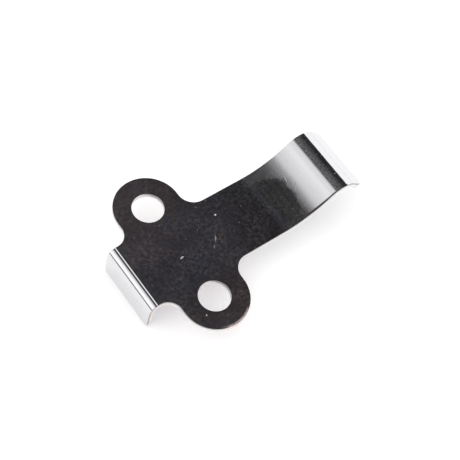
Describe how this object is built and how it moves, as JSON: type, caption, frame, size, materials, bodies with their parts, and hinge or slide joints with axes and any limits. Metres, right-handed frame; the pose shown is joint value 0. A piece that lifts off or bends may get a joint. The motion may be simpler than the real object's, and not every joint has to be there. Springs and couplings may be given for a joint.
{
  "type": "cockspur fastener hook plate",
  "caption": "Pressed and plated sheet-metal hook plate for a cockspur window fastener: rounded screw ears, a down-turned hook lip, and a tongue that sweeps up to a folded-over end.",
  "frame": {"origin": "midway between the two screw holes, on the seating face under the screw plate", "axes": "+X along the tongue, away from the hook lip; +Y through both screw holes; +Z away from the seating face, the way the tongue rises"},
  "size_m": [0.0417, 0.0292, 0.0105],
  "materials": {
    "plating": "mirror-bright nickel plating over steel, with a faint copper tint on the sheared edges"
  },
  "bodies": {
    "root": {"hook_plate": "plating"}
  },
  "joints": []
}
